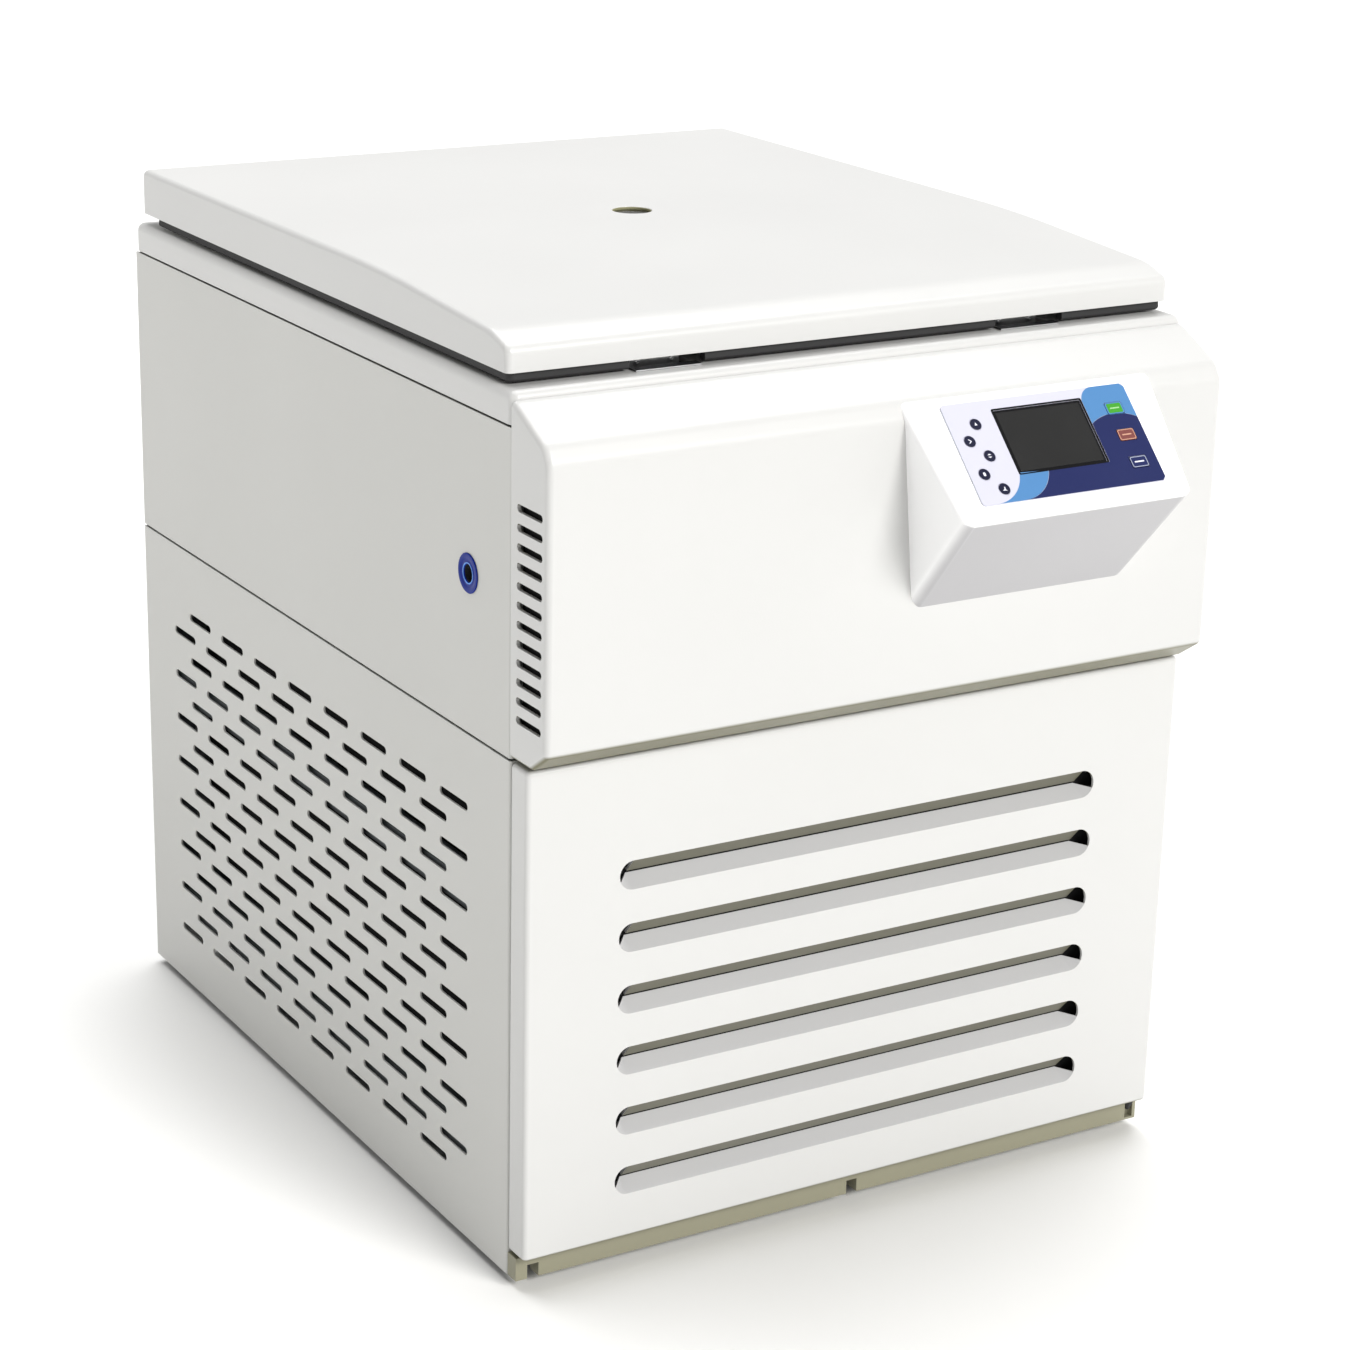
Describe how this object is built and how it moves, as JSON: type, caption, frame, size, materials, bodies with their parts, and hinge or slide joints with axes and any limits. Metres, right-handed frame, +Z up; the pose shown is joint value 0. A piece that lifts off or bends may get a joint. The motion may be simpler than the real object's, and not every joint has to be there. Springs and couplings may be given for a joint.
{
  "type": "floor-standing laboratory centrifuge",
  "caption": "Floor-standing refrigerated laboratory centrifuge with a rear-hinged lid, sloping control housing, louvred front door and perforated side panels.",
  "frame": {"origin": "on the floor, under the middle of the overall box", "axes": "+Z up, +Y from the front to the back, +X to the right seen from the front"},
  "size_m": [0.6212, 0.86, 0.775],
  "materials": {
    "powder_coat": "warm off-white fine-textured powder coat",
    "cover_paint": "off-white painted moulded cover, satin",
    "console_plastic": "cool white moulded plastic, satin",
    "label_film": "lavender-white, sky-blue and navy printed polyester film",
    "display": "dark grey display, switched off",
    "key_navy": "navy printed key",
    "key_green": "green printed key",
    "key_orange": "orange-red outlined key",
    "frame_steel": "grey painted steel",
    "zinc_steel": "zinc-plated steel",
    "stainless": "satin stainless steel",
    "liner_plastic": "light grey moulded inner liner",
    "aluminium": "machined and anodised aluminium",
    "heat_exchanger": "aluminium fins and die-cast case",
    "copper": "copper tube",
    "black_rubber": "black rubber",
    "grey_tyre": "dark grey non-marking tyre",
    "black_plastic": "black moulded plastic",
    "black_enamel": "black enamelled casting",
    "blue_plastic": "deep blue moulded plastic",
    "clear_plastic": "clear polycarbonate"
  },
  "bodies": {
    "cabinet": {"main_frame": "frame_steel", "castor_bracket_rear_left": "zinc_steel", "castor_bracket_rear_right": "zinc_steel", "left_lower_panel": "powder_coat", "right_lower_panel": "powder_coat", "left_upper_panel": "powder_coat", "right_upper_panel": "powder_coat", "release_ring": "blue_plastic", "rear_panel": "powder_coat", "front_plinth": "powder_coat", "front_cover": "cover_paint", "control_housing": "console_plastic", "control_label": "label_film", "lcd_display": "display", "top_deck": "powder_coat", "chamber_bowl": "stainless", "chamber_gasket": "black_rubber", "evaporator_coil": "copper", "armour_ring": "frame_steel", "motor_plate": "frame_steel", "motor_damper_1": "black_rubber", "motor_damper_2": "black_rubber", "motor_damper_3": "black_rubber", "drive_motor": "black_enamel", "hinge_bracket_left": "zinc_steel", "hinge_bracket_right": "zinc_steel", "door_pivot_pin": "black_rubber", "compressor": "black_enamel", "condenser": "heat_exchanger", "fan_shroud": "black_plastic", "inverter_box": "heat_exchanger", "power_inlet": "black_plastic"},
    "lid": {"lid_shell": "powder_coat", "lid_liner": "liner_plastic", "view_port": "clear_plastic", "lid_striker_left": "zinc_steel", "lid_striker_right": "zinc_steel"},
    "door": {"front_door": "cover_paint"},
    "rotor": {"rotor": "aluminium", "rotor_lid": "aluminium", "spindle": "stainless"},
    "rotor_knob": {"rotor_knob": "black_plastic"},
    "cooling_fan": {"cooling_fan": "black_plastic"},
    "latch_hook_left": {"latch_hook_left": "zinc_steel"},
    "latch_hook_right": {"latch_hook_right": "zinc_steel"},
    "castor_fork_front_left": {"castor_fork_front_left": "zinc_steel"},
    "castor_fork_front_right": {"castor_fork_front_right": "zinc_steel"},
    "mains_rocker": {"mains_rocker": "black_plastic"},
    "castor_wheel_front_left": {"castor_wheel_front_left": "grey_tyre"},
    "castor_wheel_front_right": {"castor_wheel_front_right": "grey_tyre"},
    "castor_wheel_rear_left": {"castor_wheel_rear_left": "grey_tyre"},
    "castor_wheel_rear_right": {"castor_wheel_rear_right": "grey_tyre"},
    "key_round_1": {"key_round_1": "key_navy"},
    "key_round_2": {"key_round_2": "key_navy"},
    "key_round_3": {"key_round_3": "key_navy"},
    "key_round_4": {"key_round_4": "key_navy"},
    "key_round_5": {"key_round_5": "key_navy"},
    "key_start": {"key_start": "key_green"},
    "key_stop": {"key_stop": "key_orange"},
    "key_open": {"key_open": "key_navy"}
  },
  "joints": [
    {"name": "chamber_lid_hinge", "type": "hinge", "parent": "cabinet", "child": "lid", "pos_m": [0, 0.404, 0.748], "axis": [-1, 0, 0], "range_deg": [0, 75]},
    {"name": "access_door_hinge", "type": "hinge", "parent": "cabinet", "child": "door", "pos_m": [0.302, -0.312, 0.235], "axis": [0, 0, 1], "range_deg": [0, 110]},
    {"name": "rotor_spin", "type": "hinge", "parent": "cabinet", "child": "rotor", "pos_m": [0, 0.065, 0.55], "axis": [0, 0, 1], "continuous": true},
    {"name": "rotor_knob_screw", "type": "hinge", "parent": "rotor", "child": "rotor_knob", "pos_m": [0, 0.065, 0.69], "axis": [0, 0, 1], "range_deg": [0, 1080]},
    {"name": "cooling_fan_spin", "type": "hinge", "parent": "cabinet", "child": "cooling_fan", "pos_m": [0, -0.199, 0.25], "axis": [0, 1, 0], "continuous": true},
    {"name": "latch_hook_left_turn", "type": "hinge", "parent": "cabinet", "child": "latch_hook_left", "pos_m": [-0.168, -0.286, 0.676], "axis": [-1, 0, 0], "range_deg": [0, 40]},
    {"name": "latch_hook_right_turn", "type": "hinge", "parent": "cabinet", "child": "latch_hook_right", "pos_m": [0.168, -0.286, 0.676], "axis": [-1, 0, 0], "range_deg": [0, 40]},
    {"name": "swivel_front_left", "type": "hinge", "parent": "cabinet", "child": "castor_fork_front_left", "pos_m": [-0.24, -0.225, 0.07], "axis": [0, 0, 1], "continuous": true},
    {"name": "wheel_front_left_roll", "type": "hinge", "parent": "castor_fork_front_left", "child": "castor_wheel_front_left", "pos_m": [-0.24, -0.203, 0.025], "axis": [1, 0, 0], "continuous": true},
    {"name": "swivel_front_right", "type": "hinge", "parent": "cabinet", "child": "castor_fork_front_right", "pos_m": [0.24, -0.225, 0.07], "axis": [0, 0, 1], "continuous": true},
    {"name": "wheel_front_right_roll", "type": "hinge", "parent": "castor_fork_front_right", "child": "castor_wheel_front_right", "pos_m": [0.24, -0.203, 0.025], "axis": [1, 0, 0], "continuous": true},
    {"name": "wheel_rear_left_roll", "type": "hinge", "parent": "cabinet", "child": "castor_wheel_rear_left", "pos_m": [-0.24, 0.35, 0.025], "axis": [1, 0, 0], "continuous": true},
    {"name": "wheel_rear_right_roll", "type": "hinge", "parent": "cabinet", "child": "castor_wheel_rear_right", "pos_m": [0.24, 0.35, 0.025], "axis": [1, 0, 0], "continuous": true},
    {"name": "key_round_1_press", "type": "slide", "parent": "cabinet", "child": "key_round_1", "axis": [0, 0.7071, -0.7071], "range_m": [0, 0.0005], "stiffness_N_per_m": 4000},
    {"name": "key_round_2_press", "type": "slide", "parent": "cabinet", "child": "key_round_2", "axis": [0, 0.7071, -0.7071], "range_m": [0, 0.0005], "stiffness_N_per_m": 4000},
    {"name": "key_round_3_press", "type": "slide", "parent": "cabinet", "child": "key_round_3", "axis": [0, 0.7071, -0.7071], "range_m": [0, 0.0005], "stiffness_N_per_m": 4000},
    {"name": "key_round_4_press", "type": "slide", "parent": "cabinet", "child": "key_round_4", "axis": [0, 0.7071, -0.7071], "range_m": [0, 0.0005], "stiffness_N_per_m": 4000},
    {"name": "key_round_5_press", "type": "slide", "parent": "cabinet", "child": "key_round_5", "axis": [0, 0.7071, -0.7071], "range_m": [0, 0.0005], "stiffness_N_per_m": 4000},
    {"name": "key_start_press", "type": "slide", "parent": "cabinet", "child": "key_start", "axis": [0, 0.7071, -0.7071], "range_m": [0, 0.0005], "stiffness_N_per_m": 4000},
    {"name": "key_stop_press", "type": "slide", "parent": "cabinet", "child": "key_stop", "axis": [0, 0.7071, -0.7071], "range_m": [0, 0.0005], "stiffness_N_per_m": 4000},
    {"name": "key_open_press", "type": "slide", "parent": "cabinet", "child": "key_open", "axis": [0, 0.7071, -0.7071], "range_m": [0, 0.0005], "stiffness_N_per_m": 4000},
    {"name": "mains_rocker_tilt", "type": "hinge", "parent": "cabinet", "child": "mains_rocker", "pos_m": [0.21, 0.4235, 0.157], "axis": [1, 0, 0], "range_deg": [0, 18]}
  ],
  "couplings": [
    {"joint": "latch_hook_right_turn", "follows": "latch_hook_left_turn", "ratio": 1}
  ]
}
